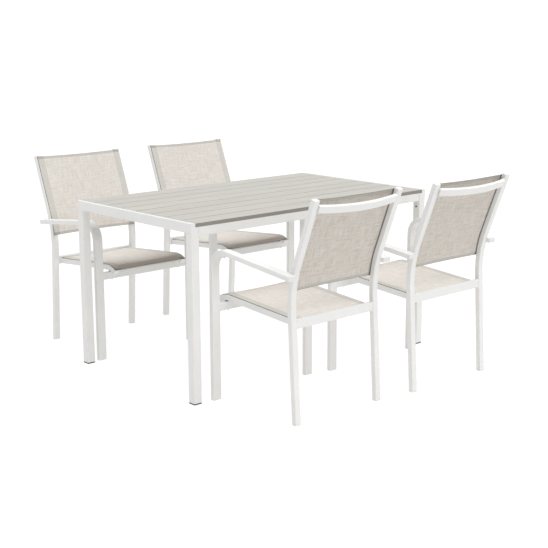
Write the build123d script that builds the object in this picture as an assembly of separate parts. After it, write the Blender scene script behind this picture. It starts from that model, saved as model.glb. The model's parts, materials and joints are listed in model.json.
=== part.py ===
from build123d import *
import os
from math import cos, radians, sin, tan

# Patio dining set: a slatted-top table and four identical stacking armchairs with sling seats.
# Millimetres, +Z up. The origin is on the ground under the middle of the table, X runs along
# the table's length and Y across it. Chairs 1 and 2 stand on the +Y side and face -Y,
# chairs 3 and 4 stand on the -Y side and face +Y.

# ---------------------------------------------------------------- table, driving dimensions
TABLE_LENGTH = 1380.0
TABLE_WIDTH = 820.0
TABLE_HEIGHT = 745.0

LEG_SIDE = 38.0            # square leg tube
LEG_CORNER = 2.5           # outside corner radius of the leg tube
END_RAIL_WIDTH = 20.0      # short side rail, its top lip level with the slats
END_RAIL_HEIGHT = 40.0
LEDGE_WIDTH = 14.0         # flange inside the end rail that carries the slat ends
LEDGE_THICKNESS = 3.0
SIDE_RAIL_WIDTH = 20.0     # long side rail, under the outer slats
SIDE_RAIL_HEIGHT = 36.0
RAIL_CORNER = 1.5

SLAT_COUNT = 8
SLAT_THICKNESS = 16.0
SLAT_GAP = 5.0
SLAT_END_GAP = 1.0
SLAT_EDGE = 1.2            # rounding of the slats' long edges
BEARER_WIDTH = 30.0        # cross tubes under the slats
BEARER_HEIGHT = 20.0
BEARER_X = 230.0

FOOT_PLATE = 4.0           # plate of every plug-in foot, table and chairs
PLUG_DEPTH = 12.0          # how far a plug's stem goes into its tube
PLUG_WALL = 3.0            # tube wall left round a plug's stem
PLUG_CLEARANCE = 0.15      # round the stem
PLUG_END_CLEARANCE = 1.0   # past the stem's end
PLATE_CHAMFER = 0.3        # of the plate's thickness

LEG_BOLT_Z = 665.0
LEG_BOLT_HEAD_R = 4.5
LEG_BOLT_HEAD_H = 2.5
LEG_BOLT_R = 2.5
LEG_BOLT_LENGTH = 14.0
SCREW_HEAD_R = 4.0
SCREW_HEAD_H = 2.5
SCREW_R = 2.0
SCREW_BITE = 9.0           # how far a slat screw goes into its slat
HOLE_CLEARANCE = 0.15
DOME_ROUNDING = 0.6        # of a domed bolt head's height
HEAD_ROUNDING = 0.4        # of a pan head's height

# ---------------------------------------------------------------- chair, driving dimensions
CHAIR_WIDTH = 554.0        # over the arms
TUBE_CORNER = 2.5

ARM_TUBE_WIDTH = 40.0      # flat tube that is front leg and armrest in one, measured across
ARM_TUBE_THICKNESS = 20.0
ARM_FRONT = 470.0          # front face of the leg, forward of the rear posts' heels
ARM_REAR_TOP_Z = 594.0     # top of the armrest where it passes the rear posts' heels
ARM_SLOPE = 6.5            # degrees, the armrest drops towards the back
ARM_BEND_R = 75.0
ARM_END = -2.0             # rear end of the armrest, forward of the heels

POST_WIDTH = 28.0          # rear post tube, across
POST_DEPTH = 22.0
POST_RAKE = 3.4            # degrees, the lower post leans forward
POST_LOWER_LENGTH = 440.0
POST_BEND_R = 450.0        # radius of the bend, at the post's back face
POST_RECLINE = 20.9        # degrees, the upper post leans back
POST_UPPER_LENGTH = 273.6

CROSS_BAR_DEPTH = 18.0
FRONT_BAR_HEIGHT = 34.0
FRONT_BAR_Z = 372.0
REAR_BAR_HEIGHT = 36.0
REAR_BAR_Z = 377.0
REAR_BAR_BACK = 24.5       # back face of the rear bar, forward of the heels

SEAT_RAIL_X = 188.0        # middle of each seat rail, either side of the chair's middle
SEAT_RAIL_WIDTH = 27.0
SEAT_RAIL_HEIGHT = 24.0
SEAT_RAIL_REAR_Z = 392.0   # middle of the rail's height at the rear bar
SEAT_RISE = 4.4            # degrees, the seat rises towards the front
SEAT_STRAIGHT_END = 440.0  # where the front curve starts, forward of the heels
SEAT_FRONT_R = 90.0
SEAT_FRONT_DROP = 35.0     # degrees below level at the rail's tip

TOP_RAIL_HEIGHT = 30.0
TOP_RAIL_DEPTH = 16.0
TOP_RAIL_BELOW = 34.0      # middle of the top rail, down the post from its top
TOP_RAIL_BOW = 34.0        # how far the rail bows back at its middle

SLING_THICKNESS = 2.4
SLING_GAP = 0.4            # air between a sling and the tubes it lies on
SLING_GROOVE_WIDTH = 3.0   # slot along each tube that holds the sling's corded edge
SLING_GROOVE_DEPTH = 5.0
SLING_GROOVE_EDGE = 4.0    # from the tube's outer side to the slot
POST_SLOT_LEAD = 1.0       # degrees of the bend that the post's slot starts below its sling
SLING_LIP_WIDTH = 2.2
SLING_LIP_DEPTH = 4.2
BACK_SLING_BOTTOM = 9.9    # degrees of the post's bend that lie below the back sling
BACK_SLING_TOP = 6.0       # bare post above the back sling
SEAT_SLING_REAR = 1.2      # gap between the seat sling and the rear bar

CAP_PLATE = 2.5            # end caps of the arms, posts and seat rails
SPACER_LENGTH = 14.0
SPACER_INSET = 3.0
SEAT_BOLT_R = 2.5
SEAT_BOLT_HEAD_R = 4.5
SEAT_BOLT_HEAD_H = 2.5
SEAT_BOLT_BITE = 12.0      # how far a seat bolt goes into its rail's height

# Chair places: (x of the chair's middle, y of its rear heels, turn about Z in degrees)
CHAIRS = {
    "chair_1": (-346.0, 852.0, 0.0),
    "chair_2": (333.0, 872.0, 0.0),
    "chair_3": (-318.0, -866.0, 180.0),
    "chair_4": (322.0, -892.0, 180.0),
}

# ---------------------------------------------------------------- worked out from the above
HALF_LENGTH = TABLE_LENGTH / 2
HALF_WIDTH = TABLE_WIDTH / 2
SLAT_BOTTOM = TABLE_HEIGHT - SLAT_THICKNESS
SLAT_WIDTH = (TABLE_WIDTH - (SLAT_COUNT - 1) * SLAT_GAP) / SLAT_COUNT
SLAT_PITCH = SLAT_WIDTH + SLAT_GAP
LEG_INNER_X = HALF_LENGTH - LEG_SIDE
LEG_INNER_Y = HALF_WIDTH - LEG_SIDE

ARM_OUTER = CHAIR_WIDTH / 2
ARM_INNER = ARM_OUTER - ARM_TUBE_WIDTH
ARM_X = ARM_OUTER - ARM_TUBE_WIDTH / 2
POST_OUTER = ARM_INNER
POST_X = POST_OUTER - POST_WIDTH / 2
POST_INNER = POST_OUTER - POST_WIDTH
BACK_GROOVE_X = POST_OUTER - SLING_GROOVE_EDGE - SLING_GROOVE_WIDTH / 2
SEAT_GROOVE_X = SEAT_RAIL_X + SEAT_RAIL_WIDTH / 2 - SLING_GROOVE_EDGE - SLING_GROOVE_WIDTH / 2
REAR_BAR_FRONT = REAR_BAR_BACK + CROSS_BAR_DEPTH
SLING_LIP_HEIGHT = SLING_THICKNESS + SLING_GAP + SLING_LIP_DEPTH
FAR = 2000.0               # larger than any chair part, for trimming


# ---------------------------------------------------------------- helpers
def block(x0, x1, y0, y1, z0, z1):
    """A box between two corners."""
    return Pos((x0 + x1) / 2, (y0 + y1) / 2, (z0 + z1) / 2) * Box(x1 - x0, y1 - y0, z1 - z0)


def tube_along_x(x0, x1, y0, y1, z0, z1, corner):
    """A straight tube with rounded long edges, running along X."""
    return fillet(block(x0, x1, y0, y1, z0, z1).edges().filter_by(Axis.X), corner)


def tube_along_y(x0, x1, y0, y1, z0, z1, corner):
    """A straight tube with rounded long edges, running along Y."""
    return fillet(block(x0, x1, y0, y1, z0, z1).edges().filter_by(Axis.Y), corner)


def side_point(forward, z, x=0.0):
    """A point of the chair from its distance forward of the heels and its height."""
    return Vector(x, -forward, z)


def heading(path, at):
    """The section plane of a side-view path at 0 or 1, with its first axis across the chair."""
    return Plane(origin=path @ at, x_dir=(1, 0, 0), z_dir=path % at)


def swept_tube(path, width, thickness, corner):
    """A rounded tube along a side-view path, width across the chair."""
    return sweep(heading(path, 0) * RectangleRounded(width, thickness, corner), path=path)


def swept_strip(path, width, thickness):
    """A square-edged strip along a side-view path."""
    return sweep(heading(path, 0) * Rectangle(width, thickness), path=path)


def end_plane(path, at):
    """The section plane at a path's end, facing out of the tube."""
    plane = heading(path, at)
    if at == 0:
        return Plane(origin=plane.origin, x_dir=(1, 0, 0), z_dir=plane.z_dir * -1)
    return plane


def plug_pocket(plane, width, thickness):
    """The space that a plug's stem takes in the end of a tube."""
    stem = Rectangle(width - 2 * PLUG_WALL, thickness - 2 * PLUG_WALL)
    return extrude(plane * stem, amount=-PLUG_DEPTH)


def plug(plane, width, thickness, plate):
    """A plug-in cap: a rounded plate on the tube's end and a stem inside it."""
    face = extrude(plane * RectangleRounded(width, thickness, TUBE_CORNER), amount=plate)
    face = chamfer(face.faces().sort_by(Axis(plane.origin, plane.z_dir))[-1].edges(), plate * PLATE_CHAMFER)
    shrink = 2 * (PLUG_WALL + PLUG_CLEARANCE)
    stem = Rectangle(width - shrink, thickness - shrink)
    return face + extrude(plane * stem, amount=PLUG_END_CLEARANCE - PLUG_DEPTH)


def mirrored(part):
    """A piece and its mirror image on the chair's other side."""
    return [part, part.mirror(Plane.YZ)]


# ---------------------------------------------------------------- table pieces
def slat_middles():
    """Y of each slat's middle, from the -Y side."""
    first = -HALF_WIDTH + SLAT_WIDTH / 2
    return [first + SLAT_PITCH * i for i in range(SLAT_COUNT)]


def table_foot_plane(sx, sy):
    """Where a table leg ends on its foot, facing down."""
    x = sx * (HALF_LENGTH - LEG_SIDE / 2)
    y = sy * (HALF_WIDTH - LEG_SIDE / 2)
    return Plane(origin=(x, y, FOOT_PLATE), x_dir=(1, 0, 0), z_dir=(0, 0, -1))


def table_leg(sx, sy):
    """Square leg, stepped at the top: the end rail lies over its outer half."""
    plane = table_foot_plane(sx, sy)
    section = RectangleRounded(LEG_SIDE, LEG_SIDE, LEG_CORNER)
    leg = extrude(plane * section, amount=-(SLAT_BOTTOM - FOOT_PLATE))
    x_edge = sx * (HALF_LENGTH - END_RAIL_WIDTH)
    x_out = sx * HALF_LENGTH
    leg -= block(min(x_edge, x_out), max(x_edge, x_out), -HALF_WIDTH, HALF_WIDTH,
                 TABLE_HEIGHT - END_RAIL_HEIGHT, TABLE_HEIGHT)
    leg -= plug_pocket(plane, LEG_SIDE, LEG_SIDE)
    return leg - leg_bolt_bar(sx, sy, LEG_BOLT_R + HOLE_CLEARANCE)


def leg_bolt_plane(sx, sy):
    """The spot on a leg's inner side where its joint bolt sits, facing the table's middle."""
    return Plane(origin=(sx * LEG_INNER_X, sy * (HALF_WIDTH - LEG_SIDE / 2), LEG_BOLT_Z),
                 x_dir=(0, 1, 0), z_dir=(-sx, 0, 0))


def leg_bolt_bar(sx, sy, radius):
    return extrude(leg_bolt_plane(sx, sy) * Circle(radius), amount=-LEG_BOLT_LENGTH)


def leg_bolt(sx, sy):
    """Domed bolt through the leg's inner wall."""
    plane = leg_bolt_plane(sx, sy)
    head = extrude(plane * Circle(LEG_BOLT_HEAD_R), amount=LEG_BOLT_HEAD_H)
    head = fillet(head.edges().group_by(Axis(plane.origin, plane.z_dir))[-1], LEG_BOLT_HEAD_H * DOME_ROUNDING)
    return head + leg_bolt_bar(sx, sy, LEG_BOLT_R)


def end_rail(sx):
    """Rail over the legs of one short side, with the flange that the slats rest on."""
    top = TABLE_HEIGHT
    inner = HALF_LENGTH - END_RAIL_WIDTH
    rail = tube_along_y(inner, HALF_LENGTH, -HALF_WIDTH, HALF_WIDTH,
                        top - END_RAIL_HEIGHT, top, RAIL_CORNER)
    ledge = block(inner - LEDGE_WIDTH, inner + RAIL_CORNER, -LEG_INNER_Y, LEG_INNER_Y,
                  SLAT_BOTTOM - LEDGE_THICKNESS, SLAT_BOTTOM)
    rail = rail + ledge
    return rail if sx > 0 else rail.mirror(Plane.YZ)


def side_rail(sy):
    """Rail between the legs of one long side, under the outer slat."""
    y0, y1 = sorted((sy * HALF_WIDTH, sy * (HALF_WIDTH - SIDE_RAIL_WIDTH)))
    return tube_along_x(-LEG_INNER_X, LEG_INNER_X, y0, y1,
                        SLAT_BOTTOM - SIDE_RAIL_HEIGHT, SLAT_BOTTOM, RAIL_CORNER)


def slat_screw_bars(radius, y_middles):
    """Straight bars where the slat screws run, from under the bearers up into the slats."""
    low = SLAT_BOTTOM - BEARER_HEIGHT
    length = BEARER_HEIGHT + SCREW_BITE
    return [Pos(x, y, low + length / 2) * Cylinder(radius, length)
            for x in (-BEARER_X, BEARER_X) for y in y_middles]


def table_slat(y):
    """One board of the top, with rounded long edges and two blind screw holes below."""
    end = HALF_LENGTH - END_RAIL_WIDTH - SLAT_END_GAP
    slat = tube_along_x(-end, end, y - SLAT_WIDTH / 2, y + SLAT_WIDTH / 2,
                        SLAT_BOTTOM, TABLE_HEIGHT, SLAT_EDGE)
    for bar in slat_screw_bars(SCREW_R + HOLE_CLEARANCE, [y]):
        slat -= bar
    return slat


def slat_bearers():
    """Two cross tubes between the long rails, drilled for the slat screws."""
    inner = HALF_WIDTH - SIDE_RAIL_WIDTH
    bearers = []
    for x in (-BEARER_X, BEARER_X):
        bearer = tube_along_y(x - BEARER_WIDTH / 2, x + BEARER_WIDTH / 2, -inner, inner,
                              SLAT_BOTTOM - BEARER_HEIGHT, SLAT_BOTTOM, RAIL_CORNER)
        for bar in slat_screw_bars(SCREW_R + HOLE_CLEARANCE, slat_middles()):
            bearer -= bar
        bearers.append(bearer)
    return bearers


def slat_screws():
    """Pan-head screws, one for each slat on each bearer."""
    screws = []
    for bar in slat_screw_bars(SCREW_R, slat_middles()):
        foot = bar.faces().sort_by(Axis.Z)[0].center()
        head = Pos(foot.X, foot.Y, foot.Z - SCREW_HEAD_H / 2) * Cylinder(SCREW_HEAD_R, SCREW_HEAD_H)
        head = fillet(head.edges().group_by(Axis.Z)[0], SCREW_HEAD_H * HEAD_ROUNDING)
        screws.append(head + bar)
    return screws


def table_parts():
    corners = {"front_left": (-1, -1), "back_left": (-1, 1), "back_right": (1, 1), "front_right": (1, -1)}
    parts = {f"table_leg_{name}": [table_leg(sx, sy)] for name, (sx, sy) in corners.items()}
    parts["table_end_rail_left"] = [end_rail(-1)]
    parts["table_end_rail_right"] = [end_rail(1)]
    parts["table_side_rail_front"] = [side_rail(-1)]
    parts["table_side_rail_back"] = [side_rail(1)]
    for number, y in enumerate(slat_middles(), start=1):
        parts[f"table_slat_{number}"] = [table_slat(y)]
    parts["table_slat_bearers"] = slat_bearers()
    parts["table_slat_screws"] = slat_screws()
    parts["table_leg_bolts"] = [leg_bolt(sx, sy) for sx, sy in corners.values()]
    parts["table_foot_caps"] = [plug(table_foot_plane(sx, sy), LEG_SIDE, LEG_SIDE, FOOT_PLATE)
                                for sx, sy in corners.values()]
    return parts


# ---------------------------------------------------------------- chair, side-view paths
def post_path(off_back, x=0.0, skip=0.0, short=0.0):
    """A line parallel to the rear post's back face, off_back in front of it.

    skip is the tilt in degrees to leave out from the bottom of the bend, with the straight
    lower part; at 0 the path starts at the ground. short is left off at the top.
    """
    rake, recline = radians(POST_RAKE), radians(POST_RECLINE)
    knee = (POST_LOWER_LENGTH * sin(rake), POST_LOWER_LENGTH * cos(rake))
    centre = (knee[0] - POST_BEND_R * cos(rake), knee[1] + POST_BEND_R * sin(rake))
    radius = POST_BEND_R + off_back

    def on_bend(tilt):
        return side_point(centre[0] + radius * cos(tilt), centre[1] - radius * sin(tilt), x)

    start = rake - radians(skip)
    upper = POST_UPPER_LENGTH - short
    top = on_bend(-recline) + side_point(-upper * sin(recline), upper * cos(recline))
    edges = [ThreePointArc(on_bend(start), on_bend((start - recline) / 2), on_bend(-recline)),
             Line(on_bend(-recline), top)]
    if skip == 0:
        heel = on_bend(rake) - side_point(sin(rake), cos(rake)) * (POST_LOWER_LENGTH + PLUG_DEPTH)
        edges.insert(0, Line(heel, on_bend(rake)))
    return Wire(edges)


def arm_path(x):
    """Middle of the arm tube: up the front leg, round the bend and back down the armrest."""
    slope = radians(ARM_SLOPE)
    half = ARM_TUBE_THICKNESS / 2
    leg = ARM_FRONT - half
    hub = leg - ARM_BEND_R
    bend_end = hub - ARM_BEND_R * sin(slope)
    bend_end_z = ARM_REAR_TOP_Z - half / cos(slope) + bend_end * tan(slope)
    hub_z = bend_end_z - ARM_BEND_R * cos(slope)
    turn = (radians(90) + slope) / 2
    middle = side_point(hub + ARM_BEND_R * cos(turn), hub_z + ARM_BEND_R * sin(turn), x)
    rear = ARM_END + CAP_PLATE
    rear_z = bend_end_z - (bend_end - rear) * tan(slope)
    shoulder = side_point(bend_end, bend_end_z, x)
    return Wire([Line(side_point(leg, FOOT_PLATE, x), side_point(leg, hub_z, x)),
                 ThreePointArc(side_point(leg, hub_z, x), middle, shoulder),
                 Line(shoulder, side_point(rear, rear_z, x))])


def seat_path(rise, x, start, short=0.0):
    """A line parallel to the seat rail's middle, rise above it, from start to the rail's tip."""
    pitch, drop = radians(SEAT_RISE), radians(SEAT_FRONT_DROP)
    bend_z = SEAT_RAIL_REAR_Z + (SEAT_STRAIGHT_END - REAR_BAR_FRONT) * tan(pitch)
    centre = (SEAT_STRAIGHT_END + SEAT_FRONT_R * sin(pitch), bend_z - SEAT_FRONT_R * cos(pitch))
    radius = SEAT_FRONT_R + rise
    tip = drop - short / SEAT_FRONT_R

    def on_bend(fall):
        return side_point(centre[0] + radius * sin(fall), centre[1] + radius * cos(fall), x)

    crest = on_bend(-pitch)
    run = -crest.Y - start
    return Wire([Line(crest - side_point(run, run * tan(pitch)), crest),
                 ThreePointArc(crest, on_bend((tip - pitch) / 2), on_bend(tip))])


# ---------------------------------------------------------------- chair pieces
def above_floor_plates(part):
    return part - block(-FAR, FAR, -FAR, FAR, -FAR, FOOT_PLATE)


def heel_plane(x):
    """Where a rear post ends on its foot, facing down."""
    forward = FOOT_PLATE * tan(radians(POST_RAKE)) + POST_DEPTH / 2 / cos(radians(POST_RAKE))
    return Plane(origin=side_point(forward, FOOT_PLATE, x), x_dir=(1, 0, 0), z_dir=(0, 0, -1))


def rear_post():
    """Bent post with the slot for the back sling's edge in its front face."""
    path = post_path(POST_DEPTH / 2, POST_X, short=CAP_PLATE)
    post = swept_tube(path, POST_WIDTH, POST_DEPTH, TUBE_CORNER)
    slot_middle = POST_DEPTH - SLING_GROOVE_DEPTH / 2 + SLING_GAP
    slot = post_path(slot_middle, BACK_GROOVE_X, skip=BACK_SLING_BOTTOM - POST_SLOT_LEAD)
    post -= swept_strip(slot, SLING_GROOVE_WIDTH, SLING_GROOVE_DEPTH + 2 * SLING_GAP)
    post -= plug_pocket(end_plane(path, 1), POST_WIDTH, POST_DEPTH)
    post = above_floor_plates(post)
    return post - plug_pocket(heel_plane(POST_X), POST_WIDTH, POST_DEPTH)


def arm_leg():
    """Front leg and armrest, one bent flat tube."""
    path = arm_path(ARM_X)
    tube = swept_tube(path, ARM_TUBE_WIDTH, ARM_TUBE_THICKNESS, TUBE_CORNER)
    for at in (0, 1):
        tube -= plug_pocket(end_plane(path, at), ARM_TUBE_WIDTH, ARM_TUBE_THICKNESS)
    return tube


def rail_body():
    """The seat rail before its slot and bolt hole, trimmed against the rear bar."""
    path = seat_path(0, SEAT_RAIL_X, REAR_BAR_FRONT - SEAT_RAIL_HEIGHT)
    rail = swept_tube(path, SEAT_RAIL_WIDTH, SEAT_RAIL_HEIGHT, TUBE_CORNER)
    return rail - block(-FAR, FAR, -REAR_BAR_FRONT, FAR, -FAR, FAR)


def seat_rail():
    """Seat side rail, with the slot for the seat sling's edge in its top."""
    path = seat_path(0, SEAT_RAIL_X, REAR_BAR_FRONT)
    slot_middle = SEAT_RAIL_HEIGHT / 2 - SLING_GROOVE_DEPTH / 2 + SLING_GAP
    slot = seat_path(slot_middle, SEAT_GROOVE_X, REAR_BAR_FRONT - SLING_GAP)
    rail = rail_body() - swept_strip(slot, SLING_GROOVE_WIDTH, SLING_GROOVE_DEPTH + 2 * SLING_GAP)
    rail -= plug_pocket(end_plane(path, 1), SEAT_RAIL_WIDTH, SEAT_RAIL_HEIGHT)
    return rail - seat_bolt_bar(SEAT_BOLT_R + HOLE_CLEARANCE)


def front_bar():
    """Cross tube between the front legs, drilled for the seat bolts."""
    front = ARM_FRONT - (ARM_TUBE_THICKNESS - CROSS_BAR_DEPTH) / 2
    bar = tube_along_x(-ARM_INNER, ARM_INNER, -front, CROSS_BAR_DEPTH - front,
                       FRONT_BAR_Z, FRONT_BAR_Z + FRONT_BAR_HEIGHT, TUBE_CORNER)
    for hole in mirrored(seat_bolt_bar(SEAT_BOLT_R + HOLE_CLEARANCE)):
        bar -= hole
    return bar


def rear_bar():
    """Cross tube between the rear posts, behind the seat."""
    return tube_along_x(-POST_INNER, POST_INNER, -REAR_BAR_FRONT, -REAR_BAR_BACK,
                        REAR_BAR_Z, REAR_BAR_Z + REAR_BAR_HEIGHT, TUBE_CORNER)


def top_rail():
    """Bowed tube between the posts near their tops, behind the back sling."""
    post = post_path(POST_DEPTH / 2, short=TOP_RAIL_BELOW)
    middle = post @ 1
    up = post % 1
    back = up.cross(Vector(1, 0, 0))
    if back.Y < 0:
        back = back * -1
    over = TOP_RAIL_DEPTH
    radius = (POST_INNER ** 2 + TOP_RAIL_BOW ** 2) / (2 * TOP_RAIL_BOW)
    reach = POST_INNER + over
    dip = radius - TOP_RAIL_BOW - (radius ** 2 - reach ** 2) ** 0.5
    ends = [middle + back * dip + Vector(side * reach, 0, 0) for side in (-1, 1)]
    path = Wire([ThreePointArc(ends[0], middle + back * TOP_RAIL_BOW, ends[1])])
    section = Plane(origin=path @ 0, x_dir=up, z_dir=path % 0)
    rail = sweep(section * RectangleRounded(TOP_RAIL_HEIGHT, TOP_RAIL_DEPTH, TUBE_CORNER), path=path)
    rail -= block(POST_INNER, FAR, -FAR, FAR, -FAR, FAR)
    return rail - block(-FAR, -POST_INNER, -FAR, FAR, -FAR, FAR)


def sling(panel_path, lip_path, half_width):
    """A stretched panel with a corded edge down each side, which sits in its tube's slot."""
    panel = swept_strip(panel_path, 2 * half_width, SLING_THICKNESS)
    for edge in mirrored(swept_strip(lip_path, SLING_LIP_WIDTH, SLING_LIP_HEIGHT)):
        panel += edge
    return panel


def back_sling():
    """Back panel, from just under the posts' tops to a hand's width above the seat."""
    face = POST_DEPTH + SLING_GAP + SLING_THICKNESS
    panel = post_path(face - SLING_THICKNESS / 2, skip=BACK_SLING_BOTTOM, short=BACK_SLING_TOP)
    lip = post_path(face - SLING_LIP_HEIGHT / 2, BACK_GROOVE_X, skip=BACK_SLING_BOTTOM,
                    short=CAP_PLATE + PLUG_DEPTH)
    return sling(panel, lip, BACK_GROOVE_X + SLING_LIP_WIDTH / 2)


def seat_sling():
    """Seat panel, from the rear bar over the rails' front curve."""
    face = SEAT_RAIL_HEIGHT / 2 + SLING_GAP + SLING_THICKNESS
    start = REAR_BAR_FRONT + SEAT_SLING_REAR
    panel = seat_path(face - SLING_THICKNESS / 2, 0, start)
    lip = seat_path(face - SLING_LIP_HEIGHT / 2, SEAT_GROOVE_X, start, short=PLUG_DEPTH)
    return sling(panel, lip, SEAT_GROOVE_X + SLING_LIP_WIDTH / 2)


def seat_bolt_bar(radius):
    """The straight bar of a seat bolt, up through the front bar and spacer into the rail."""
    length = FRONT_BAR_HEIGHT + SEAT_BOLT_BITE
    middle = side_point(ARM_FRONT - ARM_TUBE_THICKNESS / 2, FRONT_BAR_Z + length / 2, SEAT_RAIL_X)
    return Location(middle) * Cylinder(radius, length)


def seat_fixings():
    """A spacer and a bolt where each seat rail crosses the front bar."""
    middle = ARM_FRONT - ARM_TUBE_THICKNESS / 2
    bar_top = FRONT_BAR_Z + FRONT_BAR_HEIGHT
    half_width = SEAT_RAIL_WIDTH / 2 - SPACER_INSET
    spacer = block(SEAT_RAIL_X - half_width, SEAT_RAIL_X + half_width,
                   -middle - SPACER_LENGTH / 2, -middle + SPACER_LENGTH / 2,
                   bar_top, bar_top + SEAT_RAIL_HEIGHT / 2)
    spacer -= rail_body()
    spacer -= seat_bolt_bar(SEAT_BOLT_R + HOLE_CLEARANCE)
    head_middle = side_point(middle, FRONT_BAR_Z - SEAT_BOLT_HEAD_H / 2, SEAT_RAIL_X)
    head = Location(head_middle) * Cylinder(SEAT_BOLT_HEAD_R, SEAT_BOLT_HEAD_H)
    head = fillet(head.edges().group_by(Axis.Z)[0], SEAT_BOLT_HEAD_H * HEAD_ROUNDING)
    bolt = head + seat_bolt_bar(SEAT_BOLT_R)
    return mirrored(spacer) + mirrored(bolt)


def chair_caps():
    """Feet and end caps: every open tube end has one."""
    arm = arm_path(ARM_X)
    post = post_path(POST_DEPTH / 2, POST_X, short=CAP_PLATE)
    rail = seat_path(0, SEAT_RAIL_X, REAR_BAR_FRONT)
    return (mirrored(plug(end_plane(arm, 0), ARM_TUBE_WIDTH, ARM_TUBE_THICKNESS, FOOT_PLATE))
            + mirrored(plug(heel_plane(POST_X), POST_WIDTH, POST_DEPTH, FOOT_PLATE))
            + mirrored(plug(end_plane(arm, 1), ARM_TUBE_WIDTH, ARM_TUBE_THICKNESS, CAP_PLATE))
            + mirrored(plug(end_plane(post, 1), POST_WIDTH, POST_DEPTH, CAP_PLATE))
            + mirrored(plug(end_plane(rail, 1), SEAT_RAIL_WIDTH, SEAT_RAIL_HEIGHT, CAP_PLATE)))


def chair_parts():
    """All pieces of one chair, facing -Y, with its heels on the X axis."""
    return {
        "rear_posts": mirrored(rear_post()),
        "arm_legs": mirrored(arm_leg()),
        "seat_rails": mirrored(seat_rail()),
        "front_bar": [front_bar()],
        "rear_bar": [rear_bar()],
        "top_rail": [top_rail()],
        "seat_sling": [seat_sling()],
        "back_sling": [back_sling()],
        "caps": chair_caps(),
        "seat_fixings": seat_fixings(),
    }


# ---------------------------------------------------------------- the whole set
def write_part(name, solids):
    shape = solids[0] if len(solids) == 1 else Compound(children=solids)
    export_step(shape, f"parts/{name}.step")


os.makedirs("parts", exist_ok=True)
for node, pieces in table_parts().items():
    write_part(node, pieces)
one_chair = chair_parts()
for chair, (x, y, turn) in CHAIRS.items():
    place = Location((x, y, 0), (0, 0, turn))
    for node, pieces in one_chair.items():
        write_part(f"{chair}_{node}", [place * piece for piece in pieces])
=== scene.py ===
import json
from math import cos, pi, radians, sin

import bmesh
import bpy
import numpy as np
from mathutils import Matrix, Vector
from mathutils.bvhtree import BVHTree

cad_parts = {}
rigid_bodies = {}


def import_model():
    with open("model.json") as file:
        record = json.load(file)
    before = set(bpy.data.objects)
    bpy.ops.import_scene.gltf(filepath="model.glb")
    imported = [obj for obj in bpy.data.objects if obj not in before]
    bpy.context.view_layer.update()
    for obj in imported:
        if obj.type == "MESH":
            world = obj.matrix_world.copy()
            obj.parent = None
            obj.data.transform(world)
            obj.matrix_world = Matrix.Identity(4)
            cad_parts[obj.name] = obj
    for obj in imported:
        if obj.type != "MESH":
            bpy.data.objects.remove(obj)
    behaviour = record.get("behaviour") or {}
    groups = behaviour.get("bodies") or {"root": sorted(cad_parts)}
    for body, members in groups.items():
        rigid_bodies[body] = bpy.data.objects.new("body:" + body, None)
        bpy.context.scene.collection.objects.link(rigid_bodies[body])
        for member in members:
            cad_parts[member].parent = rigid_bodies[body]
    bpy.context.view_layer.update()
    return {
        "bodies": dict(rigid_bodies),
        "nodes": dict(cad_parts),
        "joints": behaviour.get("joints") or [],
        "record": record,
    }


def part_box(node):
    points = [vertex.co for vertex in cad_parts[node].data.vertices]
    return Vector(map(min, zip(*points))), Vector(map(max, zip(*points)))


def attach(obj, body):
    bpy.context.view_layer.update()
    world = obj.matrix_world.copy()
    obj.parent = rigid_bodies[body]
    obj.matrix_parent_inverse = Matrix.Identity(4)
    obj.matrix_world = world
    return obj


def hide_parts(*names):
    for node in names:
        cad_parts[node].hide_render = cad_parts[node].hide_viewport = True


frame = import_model()

# Patio dining set: a slatted table and four sling chairs. Metres, in the CAD frame: X along
# the table, Y across it, Z up. Chairs 1 and 2 face -Y, chairs 3 and 4 face +Y.

# ---------------------------------------------------------------- camera and light
CAMERA_PLACE = (-3.4356, -3.9760, 1.5375)
CAMERA_AZIMUTH = -41.706
CAMERA_ELEVATION = 12.476
CAMERA_ROLL = -0.2085
SENSOR_MM = 36.0
LENS_MM = 76.61

SKY_HIGH = 0.62                 # light from overhead
SKY_LOW = 1.02                  # light from the horizon's band, and what shows behind the floor
SKY_EDGE = 0.02                 # that band fades from here, as the sine of the elevation
SKY_BAND = 0.07                 # to here
SUN_STRENGTH = 2.55
SUN_SOFTNESS = 75.0             # degrees across
SUN_FROM = (0.16, -0.26, 0.95)
FLOOR_HALF = 40.0
FLOOR_COLOUR = (0.12, 0.12, 0.12)
FLOOR_MOTTLE = 0.01             # how much darker its darker places are
FLOOR_GLOW = 0.93               # the floor is a lit white table, so shadows on it stay faint

# ---------------------------------------------------------------- slings
SHEET = 0.0012                  # one layer of the coated mesh
HEM_FOLD = 0.0010               # what a turned-in layer adds
FACE_FREE = -0.0007             # the cloth's face below the CAD sling's face, between the tubes
FACE_ON_TUBE = -0.0002          # and over the tubes, where the edge is turned in
SIDE_HEM = 0.034                # turned-in edge along the tubes, from the slot
END_HEM = 0.013                 # turned-in free edges
TUCK_INSET = 0.0014             # middle of the cloth in its slot, inboard of the CAD sling's side
TUCK_RADIUS = 0.0013
TUCK_DEPTH = 0.0055             # below the CAD sling's face
EASE = 0.008                    # over which the cloth lifts onto a tube
EASE_END = 0.003                # one more row of points past that, over the tube
STEP = 0.0006                   # width of the step at a hem's inner edge
BACK_HOLLOW = 0.004             # how far each cloth sinks between its tubes
SEAT_HOLLOW = 0.006
EDGE_PULL = 0.003               # how far the free edges are drawn in

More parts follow.
